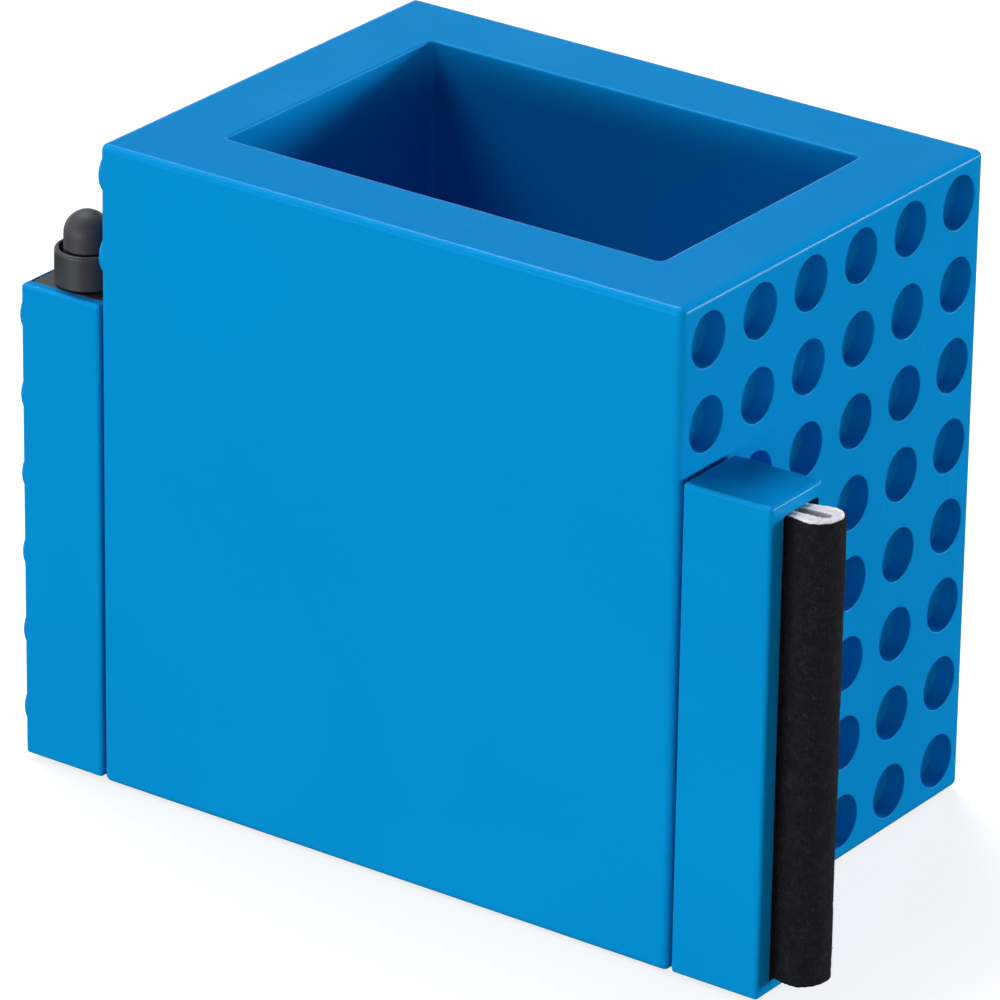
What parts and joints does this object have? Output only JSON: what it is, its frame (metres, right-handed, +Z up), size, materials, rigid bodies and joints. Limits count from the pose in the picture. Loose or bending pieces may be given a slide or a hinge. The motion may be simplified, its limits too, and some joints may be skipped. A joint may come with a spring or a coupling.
{
  "type": "desk cup with pull-off felt eraser block and stylus block",
  "caption": "Rectangular plastic desk cup with studs and sockets on its sides, carrying a pull-off felt eraser block and a pull-off block with a rubber stylus tip.",
  "frame": {"origin": "on the table, under the middle of the whole object, with both side blocks pressed on", "axes": "+X right, from the stud side to the socket side; +Y back, away from the side blocks' flush front faces; +Z up"},
  "size_m": [0.1418, 0.0762, 0.1022],
  "materials": {
    "blue_plastic": "gloss",
    "black_plastic": "satin",
    "tip_rubber": "matte",
    "felt": "matte",
    "foam": "matte",
    "foot_rubber": "matte",
    "screw_steel": "satin"
  },
  "bodies": {
    "cup": {"cup_shell": "blue_plastic", "base_plate": "blue_plastic", "base_screw_1": "screw_steel", "base_screw_2": "screw_steel", "base_screw_3": "screw_steel", "base_screw_4": "screw_steel", "foot_1": "foot_rubber", "foot_2": "foot_rubber", "foot_3": "foot_rubber", "foot_4": "foot_rubber"},
    "eraser": {"eraser_block": "blue_plastic", "pad_carrier": "blue_plastic", "pad_felt": "felt", "pad_foam": "foam"},
    "stylus": {"stylus_block": "blue_plastic", "stylus_plug": "black_plastic", "stylus_collar": "black_plastic", "stylus_tip": "tip_rubber"}
  },
  "joints": [
    {"name": "eraser_pull_off", "type": "slide", "parent": "cup", "child": "eraser", "axis": [1, 0, 0], "range_m": [0, 0.03]},
    {"name": "stylus_pull_off", "type": "slide", "parent": "cup", "child": "stylus", "axis": [-1, 0, 0], "range_m": [0, 0.03]}
  ]
}
